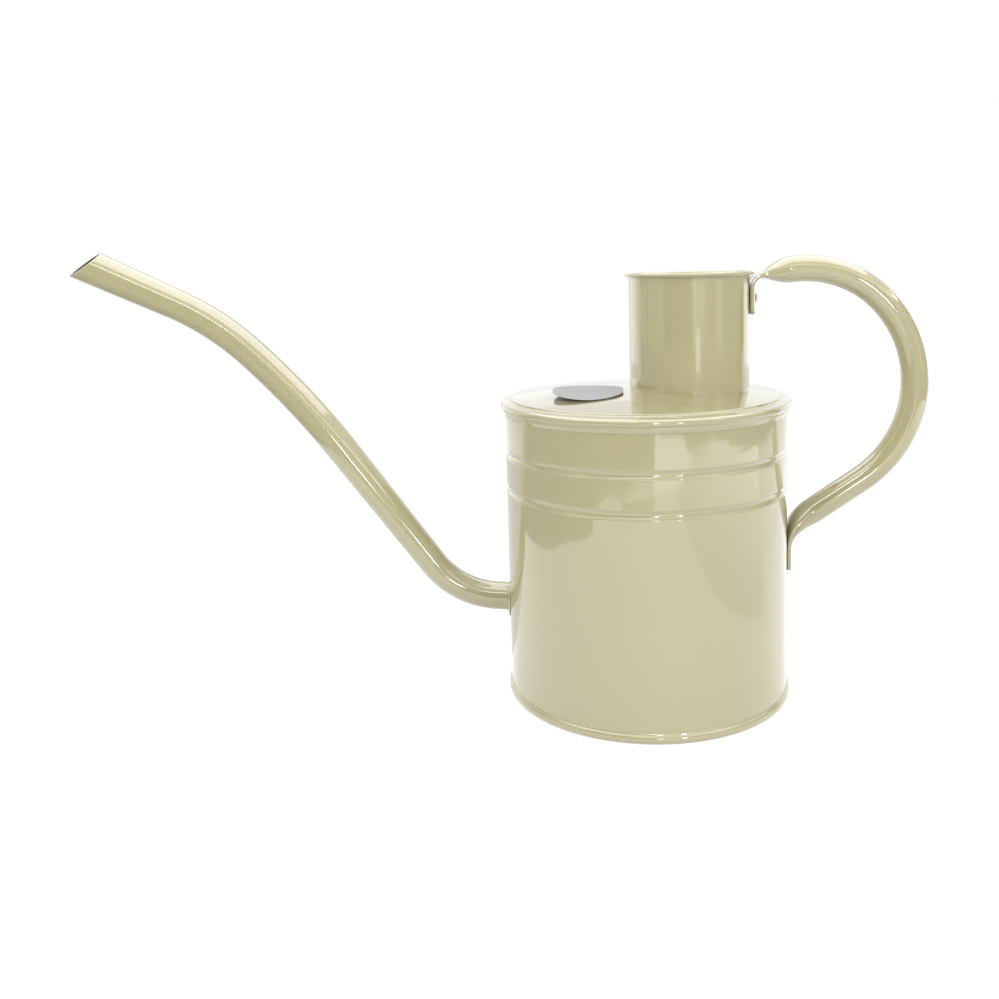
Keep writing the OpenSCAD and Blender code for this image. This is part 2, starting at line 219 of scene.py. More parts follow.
def enamel_group():
    """Colour: the tone, dipped by a broad noise and by fine freckles. Roughness: the gloss value
    and a cloudy noise. Height: the wavy sheet, plus orange peel, plus dust pips, each a noise or
    cell distance times its height."""
    group = bpy.data.node_groups.new("sprayed_enamel", "ShaderNodeTree")
    for label, kind in (("Vector", "Vector"), ("Tone", "Color"), ("Peel", "Float"), ("Wave", "Float"),
                        ("Gloss", "Float")):
        group.interface.new_socket(name=label, in_out="INPUT", socket_type="NodeSocket" + kind)
    for label, kind in (("Color", "Color"), ("Roughness", "Float"), ("Height", "Float")):
        group.interface.new_socket(name=label, in_out="OUTPUT", socket_type="NodeSocket" + kind)
    given = group.nodes.new("NodeGroupInput").outputs
    result = group.nodes.new("NodeGroupOutput").inputs

    def noise(scale, detail, rough=0.5):
        node = shader_node(group, "TexNoise", Scale=scale, Detail=detail, Roughness=rough)
        wire(group, (given["Vector"], node.inputs["Vector"]))
        return node.outputs["Fac"]

    def maths(operation, *terms):
        node = shader_node(group, "Math", operation=operation)
        for k, term in enumerate(terms):
            if isinstance(term, (int, float)):
                node.inputs[k].default_value = term
            else:
                wire(group, (term, node.inputs[k]))
        return node.outputs[0]

    dips = maths("MULTIPLY_ADD", noise(22, 3), 0.07, 0.965)
    freckles = maths("MULTIPLY", noise(900, 2, 0.6), 0.02)
    tone = shader_node(group, "VectorMath", operation="SCALE")
    cloud = maths("MULTIPLY_ADD", noise(60, 4), 0.08, -0.03)
    peel = maths("MULTIPLY", maths("MULTIPLY", noise(420, 1.5), PEEL_HEIGHT), given["Peel"])
    wave = maths("MULTIPLY", maths("MULTIPLY", noise(26, 1), WAVE_HEIGHT), given["Wave"])
    cells = shader_node(group, "TexVoronoi", Scale=130.0, Randomness=1.0)
    pip = maths("MAXIMUM", maths("MULTIPLY_ADD", cells.outputs["Distance"], -14, 0.55), 0.0)
    height = maths("ADD", maths("ADD", peel, wave), maths("MULTIPLY", pip, PIP_HEIGHT))
    wire(group,
         (given["Vector"], cells.inputs["Vector"]),
         (given["Tone"], tone.inputs[0]),
         (maths("ADD", dips, freckles), tone.inputs["Scale"]),
         (tone.outputs[0], result["Color"]),
         (maths("ADD", given["Gloss"], cloud), result["Roughness"]),
         (height, result["Height"]))
    return group


ENAMEL = enamel_group()


def enamel(name, peel=1.0, wave=1.0, gloss=0.10, stretch=(1, 1, 1)):
    """Gloss enamel on sheet steel: a coloured coat under a clear, hard gloss."""
    material, tree, shader = new_material(name)
    where = shader_node(tree, "TexCoord")
    place = shader_node(tree, "Mapping", Scale=stretch)
    coat = shader_node(tree, "Group", node_tree=ENAMEL)
    for key, item in (("Tone", CREAM), ("Peel", peel), ("Wave", wave), ("Gloss", gloss)):
        coat.inputs[key].default_value = item
    bump = shader_node(tree, "Bump", Strength=1.0, Distance=1.0)
    wire(tree,
         (where.outputs["Object"], place.inputs["Vector"]),
         (place.outputs[0], coat.inputs["Vector"]),
         (coat.outputs["Color"], shader.inputs["Base Color"]),
         (coat.outputs["Roughness"], shader.inputs["Roughness"]),
         (coat.outputs["Height"], bump.inputs["Height"]),
         (bump.outputs[0], shader.inputs["Normal"]),
         (bump.outputs[0], shader.inputs["Coat Normal"]))
    shader.inputs["IOR"].default_value = 1.5
    shader.inputs["Specular IOR Level"].default_value = 0.6
    shader.inputs["Coat Weight"].default_value = 1.0
    shader.inputs["Coat Roughness"].default_value = 0.035
    shader.inputs["Coat IOR"].default_value = 1.7
    return material


def fitted(piece, material, node, inside=None):
    """The piece takes its material, hides its CAD node and rides on the can."""
    piece.data.materials.clear()
    for layer in filter(None, (material, inside)):
        piece.data.materials.append(layer)
    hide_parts(node)
    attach(piece, "root")


fitted(body_wall, enamel("wall_enamel"), "body_shell")

# ---------------------------------------------------------------- floor of the can
# A pressed steel disc, recessed, with its edge folded down and round the wall's lower edge. The fold
# makes the rounded foot ring the can stands on and the bead seen at the bottom of the wall.
FOOT_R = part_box("base_plate")[1].x / MM
FOOT_IN = 53.2
FOOT_H = 3.7
BEAD_R = 1.5
FLOOR_Z = 2.6
WALL_SEAT = 1.8             # height of the fold inside the wall
bead_a = np.radians(np.linspace(-90, 62, 26))
bead = np.stack([FOOT_R - BEAD_R + BEAD_R * np.cos(bead_a), FOOT_H / 2 * (1 + np.sin(bead_a))], 1)
disc = np.concatenate([
    [[0.5, FLOOR_Z, 0], [FOOT_IN - 1.2, FLOOR_Z, 0], [FOOT_IN, FLOOR_Z, 0.5], [FOOT_IN, 0, 0.88],
     [FOOT_IN + 1.2, 0, 0]],
    unrounded(bead),
    [[BODY_R + 0.22, FOOT_H + 0.06, 0.1], [BODY_R + 0.03, FOOT_H + 0.35, 0],
     [BODY_R + 0.03, WALL_SEAT, 0.1], [BODY_R - 0.65, WALL_SEAT, 0.1],
     [BODY_R - 0.65, FLOOR_Z + SHEET, 0.1], [FOOT_IN - 1.2, FLOOR_Z + SHEET, 0],
     [0.5, FLOOR_Z + SHEET, 0]]])
base_fold = skin("base_fold", turned(refined(rounded(disc), 1.5)), poles=True)
fitted(base_fold, enamel("base_enamel", gloss=0.13), "base_plate")

# ---------------------------------------------------------------- lid
# A pressed steel lid, domed 6 mm, stepped down at its rim and rolled shut over the wall's upper edge.
# Its hole for the filler neck sits off the middle, towards the handle.
SEAM_Z = 115.1
SEAM_R = 1.5
SEAM_X = BODY_R + 0.2
BAND_LOW = 111.4            # lower edge of the band under the roll
DOME_Z = 121.3
DOME_R = 400.0
LID_EDGE = BODY_R - 2.5
NECK_R = 23.3
NECK_X = BODY_R - 13.9 - NECK_R
dome_low = DOME_Z - DOME_R
edge_z = dome_low + math.sqrt(DOME_R ** 2 - LID_EDGE ** 2)


def rolled(first, last, count):
    """Points of the rolled rim: its centre plus SEAM_R (cos a, sin a), from angle first to last."""
    a = np.radians(np.linspace(first, last, count))
    return unrounded(np.stack([SEAM_X + SEAM_R * np.cos(a), SEAM_Z + SEAM_R * np.sin(a)], 1))


rim = np.concatenate([
    [[LID_EDGE - 1, edge_z + 0.13, 0], [LID_EDGE + 0.1, edge_z, 0.32],
     [LID_EDGE + 0.35, edge_z - 0.62, 0.3]],
    rolled(90, -62, 22),
    [[BODY_R + 0.9, BAND_LOW + 1.5, 0.4], [BODY_R + 0.3, BAND_LOW + 0.1, 0.08],
     [BODY_R + 0.05, BAND_LOW, 0]],
    rolled(-96, -203, 12),
    [[LID_EDGE - SHEET, SEAM_Z + 0.6, 0.2], [LID_EDGE - SHEET, edge_z - 0.55, 0]]])
rim = refined(rounded(rim), 1.2)


def dome_rings(share, sphere_r):
    """Rings that run from the neck's hole (share 0) to the lid's rim (share 1), laid on a sphere:
    z is the sphere's centre plus the root of its radius squared less x squared less y squared."""
    s = share[:, None]
    a = np.linspace(0, 2 * np.pi, AROUND, endpoint=False)
    r = (NECK_R + HOLE_GAP) * (1 - s) + (LID_EDGE - 1) * s
    x, y = NECK_X * (1 - s) + r * np.cos(a), r * np.sin(a)
    return np.stack([x, y, dome_low + np.sqrt(sphere_r ** 2 - x ** 2 - y ** 2)], -1)


share = np.r_[0, 0.004, np.linspace(0.02, 1, 26)]
lid = skin("lid", np.concatenate([dome_rings(share, DOME_R), turned(rim[1:]),
                                  dome_rings(share[::-1] * 0.97, DOME_R - SHEET)]))
fitted(lid, enamel("lid_enamel", wave=0.8), "top_plate")

# ---------------------------------------------------------------- filler neck
# An upright tube soldered into the lid's hole. Its rim is rolled outwards into a small bead, so that
# the cut edge is hidden, and the handle's rivet goes through it just below the bead.
NECK_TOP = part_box("filler_neck")[1].z / MM
NECK_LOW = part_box("filler_neck")[0].z / MM
NECK_IN = NECK_R - SHEET
RIM_R = 0.7
RIM_X = NECK_R + 1.0
RIVET_Z = NECK_TOP - 10.6
RIVET_HOLE = 1.25
rim_a = np.radians(np.linspace(-90, 90, 18))
rim_roll = np.stack([RIM_X + RIM_R * np.cos(rim_a), NECK_TOP - RIM_R + RIM_R * np.sin(rim_a)], 1)
# the sheet turns over into the roll on a curve (1-t)^2 A + 2t (1-t) B + t^2 C
t = np.linspace(0, 1, 9)[1:, None]
turn_over = (1 - t) ** 2 * [RIM_X - 0.3, NECK_TOP] + 2 * t * (1 - t) * [NECK_IN, NECK_TOP] \
    + t ** 2 * [NECK_IN, NECK_TOP - 1.6]
neck_rows = np.concatenate([
    [[NECK_R - 0.3, NECK_LOW, 0], [NECK_R, NECK_LOW, 0.1], [NECK_R, NECK_TOP - 2 * RIM_R, 0.3]],
    unrounded(rim_roll), unrounded(turn_over),
    [[NECK_IN, NECK_LOW, 0.1], [NECK_R - 0.3, NECK_LOW, 0]]])
neck = skin("neck", turned(refined(rounded(neck_rows), 1.4)[:-1], 256, NECK_X))
pierced(neck, [NECK_X + 18, 0, RIVET_Z], [NECK_X + 28, 0, RIVET_Z], RIVET_HOLE)
fitted(neck, enamel("neck_enamel", wave=1.3), "filler_neck")

# ---------------------------------------------------------------- spout
# One tapered steel tube, bent up near the wall and eased over towards its mouth, which is cut on the
# slant. It is pushed through the wall and soldered; inside it is bare steel, coloured near-black as
# painted shade.
SPOUT_IN = 2                # how far the tube starts inside the wall
MOUTH_R = 6.2               # radius at the end of the upper bend
FLARE = 0.02                # how much the radius grows for each mm past it
MOUTH_AT = 39.8             # length from there to the middle of the mouth
MOUTH_SLANT = math.radians(32)
MOUTH_LEAN = math.radians(19)


def route(start, heading, stretches, step=0.05):
    """Walks a path in the XZ plane: the heading changes evenly along each stretch by its turn, and
    the place is the running sum of cos and sin of the heading."""
    lengths, turns = np.transpose(stretches)
    knots = np.r_[0, np.cumsum(lengths)]
    s = np.linspace(0, knots[-1], int(knots[-1] / step) + 1)
    h = np.interp(s, knots, heading + np.r_[0, np.cumsum(turns)])
    mid = np.radians((h[1:] + h[:-1]) / 2)
    ds = np.diff(s)
    x = start[0] + np.r_[0, np.cumsum(ds * np.cos(mid))]
    z = start[1] + np.r_[0, np.cumsum(ds * np.sin(mid))]
    return s, x, z, h, knots


def bent(radius, turn):
    """A bent stretch of tube: its length, the radius times the turn in radians, and its turn."""
    return radius * abs(math.radians(turn)), turn


s, px, pz, ph, knots = route([SPOUT_IN - BODY_R, SPOUT_Z - spout_slope], 180 - SPOUT_RISE, [
    (8, 0), bent(34.4, -49.3), (58.2, 0), bent(314, 10), bent(110.6, 18.6), (60, 0)])
bend_end = knots[5]
tube_a = np.linspace(0, 2 * np.pi, 128, endpoint=False)
cut = np.array([-math.cos(MOUTH_LEAN) * math.sin(MOUTH_SLANT), -math.sin(MOUTH_LEAN),
                math.cos(MOUTH_LEAN) * math.cos(MOUTH_SLANT)])


def spout_rings(where, less, back=0.0):
    """Rings round the path at each length in where, with radius less mm under the tube's own. Past
    the upper bend, each point slides along the tube so that the last ring lies in the mouth's cut
    plane, back mm short of it."""
    radius = np.interp(where, [0, knots[2], knots[3], bend_end], [SPOUT_R0, SPOUT_R0, MOUTH_R, MOUTH_R])
    i = np.searchsorted(s, bend_end)
    d = np.array([math.cos(math.radians(ph[-1])), 0, math.sin(math.radians(ph[-1]))])
    side = np.stack([-d[2] * np.cos(tube_a), np.sin(tube_a), d[0] * np.cos(tube_a)], -1)
    middle = np.array([px[i], 0, pz[i]]) + MOUTH_AT * d
    start = np.array([px[i], 0, pz[i]]) + (MOUTH_R - less) * side - middle
    reach = -(start @ cut) / (d @ cut + FLARE * (side @ cut)) - back
    share = np.clip((where - bend_end) / MOUTH_AT, 0, None)[:, None]
    at = np.where(share > 0, bend_end + share * reach, where[:, None])
    r = np.where(share > 0, MOUTH_R + FLARE * (at - bend_end), radius[:, None]) - less
    h = np.radians(np.interp(at, s, ph))
    n = r * np.cos(tube_a)
    return np.stack([np.interp(at, s, px) - n * np.sin(h), r * np.sin(tube_a),
                     np.interp(at, s, pz) + n * np.cos(h)], -1)


stations = np.unique(np.r_[np.arange(0, bend_end, 0.9), knots[:6],
                           np.linspace(bend_end, bend_end + MOUTH_AT, 44)])
# the sheet's edge at the mouth: how far in from the outer face, and how far short of the cut
MOUTH_EDGE = ((0, 0.1), (0.04, 0.03), (0.12, 0), (0.48, 0), (0.56, 0.03), (SHEET, 0.1))
lip = [spout_rings(stations[-1:], less, back) for less, back in MOUTH_EDGE]
spout = skin("spout", np.concatenate([spout_rings(stations[:-1], 0), *lip,
                                      spout_rings(stations[-2::-1], SHEET)]))


def mottled(name, tones, spread, rough, patch, grain, relief):
    """A matt surface. A patchy noise runs its colour between two tones over spread, and its
    roughness over rough, and a grain noise is its relief. A noise is its scale, detail and
    roughness, and the relief is its strength and its depth in metres."""
    material, tree, shader = new_material(name)
    where = shader_node(tree, "TexCoord")
    patches, grains = (shader_node(tree, "TexNoise", Scale=scale, Detail=detail, Roughness=fall)
                       for scale, detail, fall in (patch, grain))
    ramp = shader_node(tree, "ValToRGB")
    for element, place, tone in zip(ramp.color_ramp.elements, spread, tones):
        element.position = place
        element.color = (*tone, 1)
    wear = shader_node(tree, "MapRange", **{"To Min": rough[0], "To Max": rough[1]})
    bump = shader_node(tree, "Bump", Strength=relief[0], Distance=relief[1])
    wire(tree,
         (where.outputs["Object"], patches.inputs["Vector"]),
         (where.outputs["Object"], grains.inputs["Vector"]),
         (patches.outputs["Fac"], ramp.inputs["Fac"]),
         (ramp.outputs["Color"], shader.inputs["Base Color"]),
         (patches.outputs["Fac"], wear.inputs["Value"]),
         (wear.outputs["Result"], shader.inputs["Roughness"]),
         (grains.outputs["Fac"], bump.inputs["Height"]),
         (bump.outputs[0], shader.inputs["Normal"]))
    return material, shader


# the bore is bare steel, coloured near-black: the darkness inside the tube is painted shade
bare_bore_painted_shade, bore_shader = mottled(
    "bare_bore_painted_shade", tones=((0.03, 0.03, 0.032), (0.08, 0.08, 0.085)), spread=(0, 1), rough=(0.45, 0.7),
    patch=(180, 4, 0.5), grain=(180, 4, 0.5), relief=(0.4, 0.00005))
bore_shader.inputs["Metallic"].default_value = 0.6
fitted(spout, enamel("spout_enamel", peel=0.25, wave=0.3), "spout_tube", inside=bare_bore_painted_shade)
# the rings after the mouth's edge are the bore; this comes last, as taking materials resets it
bore = np.arange(2 * len(stations) + 4) >= len(stations) + 4
spout.data.polygons.foreach_set("material_index", np.repeat(bore, len(tube_a)).astype(np.int32))

# ---------------------------------------------------------------- collar
# A thin soldered collar where the spout goes into the wall, wiped down so that it hangs a little
# below the tube.
COLLAR_R = SPOUT_R0 + 1.6
COLLAR_DROP = 1.1
# its section, from the tube outwards: radius, and height over the wall
section = np.array([[SPOUT_R0 + 0.06, 0], [SPOUT_R0 + 0.06, 0.82], [SPOUT_R0 + 0.2, 0.9], [6.3, 0.78],
                    [6.7, 0.6], [7.0, 0.4], [7.15, 0.22], [COLLAR_R, 0.08], [COLLAR_R - 0.1, 0]])
rho, lift = section[:, :1], section[:, 1:]
collar_a = np.linspace(0, 2 * np.pi, 160, endpoint=False)
drop = COLLAR_DROP * (rho - rho[0]) / (COLLAR_R - rho[0])
collar_y = rho * np.cos(collar_a)
collar_z = SPOUT_Z + 0.1 - drop + rho * np.sin(collar_a)
# x is minus the root of the wall's radius with the lift, squared, less y squared
collar_x = -np.sqrt((BODY_R + 0.06 + lift) ** 2 - collar_y ** 2)
collar = skin("spout_solder", np.stack([collar_x, collar_y, collar_z], -1))
fitted(collar, enamel("collar_enamel", peel=2.0, wave=1.2, gloss=0.14), "spout_collar")

# ---------------------------------------------------------------- handle
# One bent steel tube, 10 mm thick. Both ends are pressed flat and turned down as tabs: the upper one
# is riveted to the neck, and the lower one is spot-welded to the wall.
HANDLE_R = 5.1
TAB_T = 2.0
TAB_W = 14.0
TAB_SEAT = 1.05             # from the neck or the wall to the middle of a tab
UPPER_TAB = 16.8            # how far the upper tab reaches below the neck's rim
LOWER_TAB = 23.13           # and the lower one below the tube's straight end
tab_1, tab_2 = NECK_X + NECK_R + TAB_SEAT, BODY_R + TAB_SEAT
hs, hx, hz, hh, _ = route([NECK_X + NECK_R + 15.6, NECK_TOP], 7.4,
                          [bent(40.9, -52.3), bent(46.4, -101.1), (21.89, 0)])
# rows of x, z, heading, thickness, width and how far the sides bend round the neck or wall
upper_tab = np.array([[0, 0, 90, 2, 9.2, -1], [0, 0.5, 90, 2, 11.4, -1], [0, 1.2, 90, 2, 12.6, -1],
                      [0, 3, 90, 2, 14, -1]])
upper_bend = np.array([[0, -9.5, 90, 2, 14, -1], [0, -6.8, 90, 2, 14, -1],
                       [0.08, -5.6, 80, 2, 14, -1], [0.5, -4.4, 63, 2, 14, -0.85],
                       [1.25, -3.4, 45, 2, 14, -0.7], [2.2, -2.6, 27, 2, 14, -0.5],
                       [3.3, -2.1, 18, 2.6, 14, -0.35], [4.9, -1.6, 13, 4, 13.7, -0.2],
                       [6.9, -1.15, 10, 6, 13, -0.1], [9.4, -0.7, 8, 8, 12, 0],
                       [11.9, -0.3, 7.4, 9.4, 11, 0]])
lower_tab = np.array([[6.8, 21.1, -144, 9.3, 11, 0], [4.5, 19.2, -139, 7.8, 12, 0.1],
                      [2.85, 17.3, -130, 6, 13, 0.4], [1.55, 15.3, -117, 4.2, 13.7, 0.7],
                      [0.58, 13.1, -102, 2.9, 14, 0.9], [0.1, 10.9, -92, 2.1, 14, 1],
                      [0, 9, -90, 2, 14, 1], [0, 3, -90, 2, 14, 1], [0, 1.2, -90, 2, 12.6, 1],
                      [0, 0.5, -90, 2, 11.4, 1], [0, 0, -90, 2, 9.2, 1]])
every = np.unique(np.r_[np.arange(0, len(hs), 22), len(hs) - 1])
full = 2 * HANDLE_R + 0 * every
rows = np.concatenate([upper_tab + [tab_1, NECK_TOP - UPPER_TAB, 0, 0, 0, 0],
                       upper_bend + [tab_1, NECK_TOP, 0, 0, 0, 0],
                       np.stack([hx[every], hz[every], hh[every], full, full, 0 * full], 1),
                       lower_tab + [tab_2, hz[-1] - LOWER_TAB, 0, 0, 0, 0]])


def eased(rows, step):
    """A cubic through each column of the rows, whose slope at a row is that of its two neighbours."""
    along = np.r_[0, np.cumsum(np.linalg.norm(np.diff(rows[:, :2], axis=0), axis=1))]
    slope = np.gradient(rows, along, axis=0)
    at = np.unique(np.r_[along, np.arange(0, along[-1], step)])
    k = np.clip(np.searchsorted(along, at, "right") - 1, 0, len(along) - 2)
    w = (along[k + 1] - along[k])[:, None]
    u = (at - along[k])[:, None] / w
    return ((1 + 2 * u) * (1 - u) ** 2 * rows[k] + u * (1 - u) ** 2 * w * slope[k]
            + u ** 2 * (3 - 2 * u) * rows[k + 1] + u ** 2 * (u - 1) * w * slope[k + 1])


fine = eased(rows, 0.5)
fine[:, 3] = np.clip(fine[:, 3], TAB_T, 2 * HANDLE_R)
fine[:, 4] = np.clip(fine[:, 4], 0, TAB_W)
x, z, h, thick, wide, bend = (fine[:, k:k + 1] for k in range(6))
# the section: y is wide/2 cos a, and its height thick/2 times sin a to a power that falls from 1 for
# the round tube as it flattens, less the rise of the neck's or the wall's circle
round_a = np.linspace(0, 2 * np.pi, 144, endpoint=False)
flat = np.clip(thick / wide, 0, 1) ** 0.7
y = wide / 2 * np.cos(round_a)
n = thick / 2 * np.sign(np.sin(round_a)) * np.abs(np.sin(round_a)) ** flat
upper_half = np.arange(len(fine)) < len(fine) / 2
hold_r = np.where(upper_half, NECK_R + TAB_SEAT, BODY_R + TAB_SEAT)[:, None]
n = n - bend * (hold_r - np.sqrt(hold_r ** 2 - y ** 2))
handle = skin("handle_tube", np.stack([x - n * np.sin(np.radians(h)), y,
                                       z + n * np.cos(np.radians(h))], -1), poles=True)
pierced(handle, [tab_1 - 6, 0, RIVET_Z], [tab_1 + 6, 0, RIVET_Z], RIVET_HOLE)
fitted(handle, enamel("handle_enamel", peel=0.4, wave=0.5, stretch=(1, 2.5, 1)), "handle")

# ---------------------------------------------------------------- rivet
# A steel rivet through the neck and the handle's upper tab, its domed head outside.
HEAD_R = 1.8
HEAD_H = 0.86               # rise of the dome over the head's upright edge
HEAD_EDGE = 0.22
SHANK_R = 1.2
rivet_in = NECK_X + math.sqrt(NECK_IN ** 2 - HEAD_R ** 2) - 0.05
rivet_out = tab_1 + TAB_T / 2 + 0.05
# the dome is a quarter ellipse: radius HEAD_R times the root of 1 - rise squared
rise = np.linspace(0, 1, 9)[1:-1]
dome = np.stack([HEAD_R * np.sqrt(1 - rise ** 2), rivet_out + HEAD_EDGE + HEAD_H * rise], 1)
rivet_rows = np.concatenate([
    [[0.15, rivet_in - 0.8, 0], [HEAD_R, rivet_in - 0.8, 0.2], [HEAD_R, rivet_in, 0.1],
     [SHANK_R, rivet_in, 0.1], [SHANK_R, rivet_out, 0.1], [HEAD_R, rivet_out, 0.1],
     [HEAD_R, rivet_out + HEAD_EDGE, 0]],
    unrounded(dome), [[0.15, rivet_out + 1.09, 0]]])
upright = turned(refined(rounded(rivet_rows), 0.4), 96)
lying = np.stack([upright[..., 2], upright[..., 1], RIVET_Z - upright[..., 0]], -1)
rivet = skin("rivet", lying, poles=True)
fitted(rivet, enamel("rivet_enamel", peel=1.5, wave=0.0), "handle_rivet")

# ---------------------------------------------------------------- sticker
# A plain grey paper sticker with a satin coat, laid on the lid beside the neck. Its two ends have let
# go of the paint and curl up.
PAPER_W = 26.8
PAPER_L = 31.0
PAPER_T = 0.3
CURL_R = 96.0
PAPER_X = NECK_X - NECK_R - 3.0 - PAPER_W / 2
PAPER_Y = -15.4
PAPER_LIFT = 0.2
paper_z = dome_low + math.sqrt(DOME_R ** 2 - PAPER_X ** 2 - PAPER_Y ** 2) + PAPER_LIFT
a = np.linspace(0, 2 * np.pi, 192, endpoint=False)
outline_x = PAPER_W / 2 * np.cos(a)
outline_y = PAPER_W / 2 * np.sin(a) + np.sign(np.sin(a)) * (PAPER_L - PAPER_W) / 2
# rings over the upper face, round the edge and back under: share of the outline, then height
share = np.r_[np.linspace(0.03, 0.985, 16), 0.997, 1.0, 1.0, 0.997, np.linspace(0.985, 0.03, 16)]
height = PAPER_T * np.r_[np.ones(16), 0.96, 0.8, 0.2, 0.04, np.zeros(16)]
paper_x, paper_y = share[:, None] * outline_x, share[:, None] * outline_y
# the curl is a cylinder along y: z is its radius less the root of (radius - height)^2 - x^2
curled = CURL_R - np.sqrt((CURL_R - height[:, None]) ** 2 - paper_x ** 2)
lean_x = math.asin(PAPER_X / DOME_R) + math.radians(3.44)
lean_y = math.asin(-PAPER_Y / DOME_R)
lie = np.array(Matrix.Rotation(lean_x, 3, "Y") @ Matrix.Rotation(lean_y, 3, "X"))
sticker = skin("sticker", np.stack([paper_x, paper_y, curled], -1) @ lie.T
               + [PAPER_X, PAPER_Y, paper_z], poles=True)
sticker_paper, paper_shader = mottled(
    "sticker_paper", tones=((0.30, 0.30, 0.31), (0.37, 0.37, 0.38)), spread=(0.3, 0.7),
    rough=(0.34, 0.5), patch=(60, 3, 0.5), grain=(700, 5, 0.65), relief=(0.5, 0.00006))
paper_shader.inputs["Specular IOR Level"].default_value = 0.3
fitted(sticker, sticker_paper, "lid_sticker")

# ---------------------------------------------------------------- table, light and camera
# A white table, soft light from above and both sides, and a dim room in front of the table, which
# only the gloss shows: its wall is banded light and dark, with two small windows and a bright cornice.
scene = bpy.context.scene
scene.view_settings.view_transform = "Standard"


def card_of(name, points, faces, gloss_only=True):
    """A flat or bent card of the studio, from corners in metres."""
    mesh = bpy.data.meshes.new(name)
    mesh.from_pydata([tuple(q) for q in points], [], faces)
    card = bpy.data.objects.new(name, mesh)
    scene.collection.objects.link(card)
    if gloss_only:
        card.visible_camera = card.visible_diffuse = card.visible_shadow = False
        card.visible_transmission = False
    return card


def shining(name, points, faces, level):
    """A card that shines evenly, which only the gloss shows. Gives its nodes and its light."""
    card = card_of(name, points, faces)
    material, tree, shader = new_material(name + "_glow")
    tree.nodes.remove(shader)
    light = shader_node(tree, "Emission", Strength=level)
    wire(tree, (light.outputs[0], tree.nodes["Material Output"].inputs["Surface"]))
    card.data.materials.append(material)
    return tree, light


def strip_faces(n):
    """Faces between two rows of n points, one row after the other."""
    return [(i, i + 1, n + i + 1, n + i) for i in range(n - 1)]


FLOOR_HALF = 6
floor = card_of("floor", [(x, y, 0) for x, y in ((-FLOOR_HALF, -FLOOR_HALF), (FLOOR_HALF, -FLOOR_HALF),
                                                 (FLOOR_HALF, FLOOR_HALF), (-FLOOR_HALF, FLOOR_HALF))],
                [(0, 1, 2, 3)], gloss_only=False)
table_white, tree, shader = new_material("table_white")
shader.inputs["Base Color"].default_value = (0.56, 0.56, 0.56, 1)
shader.inputs["Roughness"].default_value = 0.7
shader.inputs["Specular IOR Level"].default_value = 0.2
# seen directly or in the gloss, the table has a little light added and fades to white further out
path = shader_node(tree, "LightPath")
seen = shader_node(tree, "Math", operation="MAXIMUM")
where = shader_node(tree, "TexCoord")
distance = shader_node(tree, "VectorMath", operation="LENGTH")
fade = shader_node(tree, "MapRange", **{"From Min": 0.35, "From Max": 0.8})
lift_light = shader_node(tree, "Emission", Strength=0.58)
white = shader_node(tree, "Emission", Strength=1.0)
lifted = shader_node(tree, "AddShader")
faded = shader_node(tree, "MixShader")
shown = shader_node(tree, "MixShader")
wire(tree,
     (shader.outputs[0], lifted.inputs[0]),
     (lift_light.outputs[0], lifted.inputs[1]),
     (where.outputs["Object"], distance.inputs[0]),
     (distance.outputs["Value"], fade.inputs["Value"]),
     (fade.outputs["Result"], faded.inputs["Fac"]),
     (lifted.outputs[0], faded.inputs[1]),
     (white.outputs[0], faded.inputs[2]),
     (path.outputs["Is Camera Ray"], seen.inputs[0]),
     (path.outputs["Is Glossy Ray"], seen.inputs[1]),
     (seen.outputs[0], shown.inputs["Fac"]),
     (shader.outputs[0], shown.inputs[1]),
     (faded.outputs[0], shown.inputs[2]),
     (shown.outputs[0], tree.nodes["Material Output"].inputs["Surface"]))
floor.data.materials.append(table_white)

world = bpy.data.worlds.new("studio")
world.use_nodes = True
scene.world = world
tree = world.node_tree
sky = tree.nodes["Background"]
sky.inputs["Color"].default_value = (1, 1, 1, 1)
# the room's light is 0.6, and white where it is seen directly, in the gloss or through glass
path = shader_node(tree, "LightPath")
seen = shader_node(tree, "Math", operation="MAXIMUM")
seen_at_all = shader_node(tree, "Math", operation="MAXIMUM")
level = shader_node(tree, "MapRange", **{"To Min": 0.60, "To Max": 1.0})
wire(tree,
     (path.outputs["Is Camera Ray"], seen.inputs[0]),
     (path.outputs["Is Glossy Ray"], seen.inputs[1]),
     (seen.outputs[0], seen_at_all.inputs[0]),
     (path.outputs["Is Transmission Ray"], seen_at_all.inputs[1]),
     (seen_at_all.outputs[0], level.inputs["Value"]),
     (level.outputs["Result"], sky.inputs["Strength"]))

# the floor beyond the table's edge, seen left, in front and right of the can, in metres
TABLE_EDGE = np.array([(-0.27, 0.09), (-0.26, -0.03), (-0.26, -0.14), (-0.21, -0.24), (-0.26, -0.28),
                       (-0.23, -0.37), (-0.04, -0.50), (0.04, -0.52), (0.05, -0.64), (0.29, -0.57),
                       (0.27, -0.51), (0.46, -0.43), (0.54, -0.28), (0.58, -0.10), (0.60, 0.25)])
far = 3.0 * TABLE_EDGE / np.linalg.norm(TABLE_EDGE, axis=1, keepdims=True)
count = len(TABLE_EDGE)
shining("dark_floor", np.c_[np.r_[TABLE_EDGE, far], np.full(2 * count, 0.0005)], strip_faces(count), 0.42)
PATCHES = (
    ("sunlit_patch", 2.0, 0.0003, ((0.02, -0.44), (0.06, -0.64), (0.27, -0.58), (0.28, -0.42))),
    ("dark_tray", 0.5, 0.0003, ((-0.165, -0.41), (0.04, -0.44), (0.015, -0.385), (-0.11, -0.37))),
    ("ceiling", 3.2, 1.9, ((-1.8, -0.9), (1.8, -0.9), (1.8, 1.9), (-1.8, 1.9))))
for name, level, z, corners in PATCHES:
    shining(name, [(*corner, z) for corner in corners], [(0, 1, 2, 3)], level)

